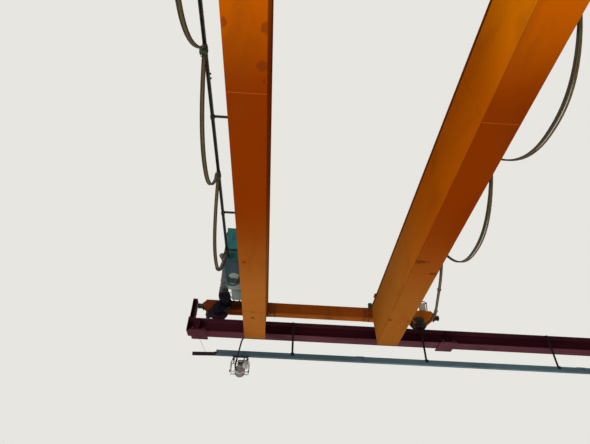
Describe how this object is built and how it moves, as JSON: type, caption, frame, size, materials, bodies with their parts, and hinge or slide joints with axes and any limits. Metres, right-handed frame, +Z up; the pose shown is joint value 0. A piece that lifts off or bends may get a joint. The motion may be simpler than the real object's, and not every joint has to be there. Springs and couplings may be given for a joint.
{
  "type": "overhead bridge crane",
  "caption": "Top-running bridge crane with box girders, bolted end carriages, festoon cables, a parked hoist trolley and its runway beams.",
  "frame": {"origin": "on the underside of the far runway beam's first bearing plate, at its centre", "axes": "+X along the runway, +Y across it from the near beam to the far beam, +Z up"},
  "size_m": [14.234, 12.4, 2.2426],
  "materials": {
    "runway_maroon": "semi-matt paint, dusty, chipped at the edges",
    "rail_steel": "rolled steel with rusty sides and a bright running surface",
    "conductor_grey": "matt grey, dusty on top",
    "dark_steel": "oily dark steel",
    "crane_orange": "semi-gloss enamel with grime, scuffs and rust at the welds",
    "black_rubber": "matt",
    "drive_black": "dark paint with oil film",
    "carrier_green": "moulded, dusty",
    "cable_olive": "flat sheathed cable, dusty",
    "sleeve_grey": "woven sleeve",
    "cabinet_teal": "semi-gloss enamel",
    "box_grey_green": "semi-gloss enamel",
    "collector_metal": "zinc-plated, pinkish core",
    "drum_steel": "greased steel",
    "rope_steel": "greased wire rope",
    "block_yellow": "enamel, scuffed",
    "hook_red": "enamel, worn bright in the bowl"
  },
  "bodies": {
    "runway": {"far_runway_beam": "runway_maroon", "near_runway_beam": "runway_maroon", "bearing_plates": "runway_maroon", "crane_rails": "rail_steel", "end_stops": "runway_maroon", "conductor_rail": "conductor_grey", "conductor_hangers": "dark_steel"},
    "bridge": {"left_girder_top_flange": "crane_orange", "left_girder_bottom_flange": "crane_orange", "left_girder_webs": "crane_orange", "right_girder_top_flange": "crane_orange", "right_girder_bottom_flange": "crane_orange", "right_girder_webs": "crane_orange", "girder_end_plates": "crane_orange", "trolley_rails": "rail_steel", "far_carriage_left_end": "crane_orange", "far_carriage_middle": "crane_orange", "far_carriage_right_end": "crane_orange", "near_carriage_left_end": "crane_orange", "near_carriage_middle": "crane_orange", "near_carriage_right_end": "crane_orange", "splice_plates": "crane_orange", "bearing_blocks": "dark_steel", "buffers": "black_rubber", "far_left_drive": "drive_black", "near_left_drive": "drive_black", "wheel_sensors": "box_grey_green", "festoon_track": "dark_steel", "festoon_arms": "dark_steel", "festoon_carriers": "carrier_green", "festoon_cable": "cable_olive", "side_cable_pegs": "dark_steel", "side_cable": "cable_olive", "drive_cable_sleeve": "sleeve_grey", "control_cabinet": "cabinet_teal", "junction_box": "box_grey_green", "collector": "collector_metal", "collector_arm": "dark_steel", "trolley_frame": "crane_orange", "trolley_wheels": "dark_steel", "hoist_drum": "drum_steel", "hoist_gearbox": "box_grey_green", "hoist_motor": "box_grey_green", "rope_falls": "rope_steel", "bottom_block": "block_yellow", "hook": "hook_red"},
    "far_left_wheel": {"far_left_wheel": "dark_steel"},
    "far_right_wheel": {"far_right_wheel": "dark_steel"},
    "near_left_wheel": {"near_left_wheel": "dark_steel"},
    "near_right_wheel": {"near_right_wheel": "dark_steel"}
  },
  "joints": [
    {"name": "bridge_travel", "type": "slide", "parent": "runway", "child": "bridge", "axis": [1, 0, 0], "range_m": [-0.02, 9.35]},
    {"name": "far_left_wheel_roll", "type": "hinge", "parent": "bridge", "child": "far_left_wheel", "pos_m": [0.31, 0, 0.4353], "axis": [0, 1, 0], "continuous": true},
    {"name": "far_right_wheel_roll", "type": "hinge", "parent": "bridge", "child": "far_right_wheel", "pos_m": [4.154, 0, 0.4353], "axis": [0, 1, 0], "continuous": true},
    {"name": "near_left_wheel_roll", "type": "hinge", "parent": "bridge", "child": "near_left_wheel", "pos_m": [0.31, -12, 0.4353], "axis": [0, 1, 0], "continuous": true},
    {"name": "near_right_wheel_roll", "type": "hinge", "parent": "bridge", "child": "near_right_wheel", "pos_m": [4.154, -12, 0.4353], "axis": [0, 1, 0], "continuous": true}
  ],
  "couplings": [
    {"joint": "far_left_wheel_roll", "follows": "bridge_travel", "rad_per_m": 8},
    {"joint": "far_right_wheel_roll", "follows": "bridge_travel", "rad_per_m": 8},
    {"joint": "near_left_wheel_roll", "follows": "bridge_travel", "rad_per_m": 8},
    {"joint": "near_right_wheel_roll", "follows": "bridge_travel", "rad_per_m": 8}
  ]
}
